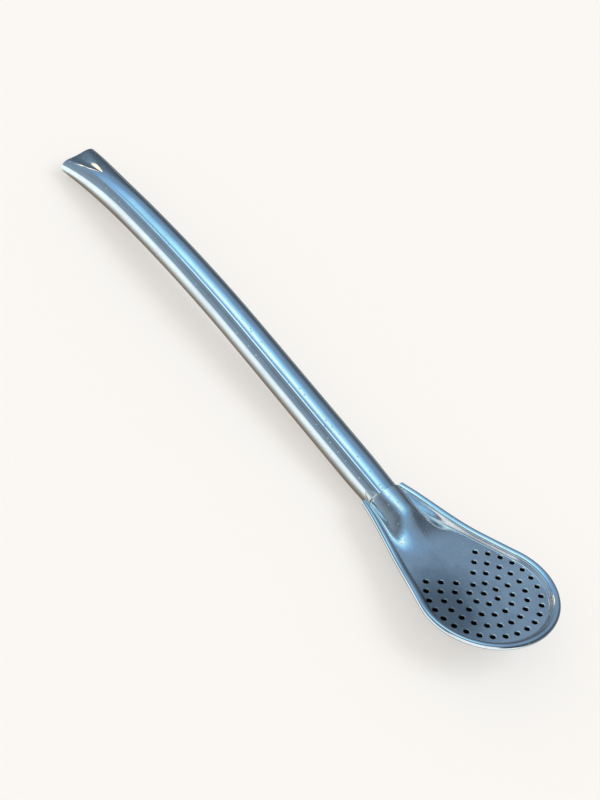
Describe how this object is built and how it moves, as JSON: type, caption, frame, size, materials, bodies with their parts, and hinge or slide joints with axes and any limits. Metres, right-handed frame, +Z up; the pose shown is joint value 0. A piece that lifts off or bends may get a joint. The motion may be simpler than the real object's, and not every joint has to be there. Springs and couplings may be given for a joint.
{
  "type": "spoon bombilla",
  "caption": "Steel drinking straw with a gently bent round stem, a flattened mouthpiece and a perforated spoon-shaped strainer crimped into a bowl-shaped back.",
  "frame": {"origin": "on the table, under the middle of the whole length and width", "axes": "+X along the length towards the strainer's round end, +Z up from the table, Y across"},
  "size_m": [0.1655, 0.0304, 0.0122],
  "materials": {
    "stem_steel": "polished stainless steel with fine scratches along the tube",
    "plate_steel": "satin stainless steel with fine scratches",
    "shell_steel": "polished stainless steel",
    "braze_metal": "bright smooth braze"
  },
  "bodies": {
    "root": {"stem_tube": "stem_steel", "strainer_plate": "plate_steel", "back_shell": "shell_steel", "neck_braze": "braze_metal"}
  },
  "joints": []
}
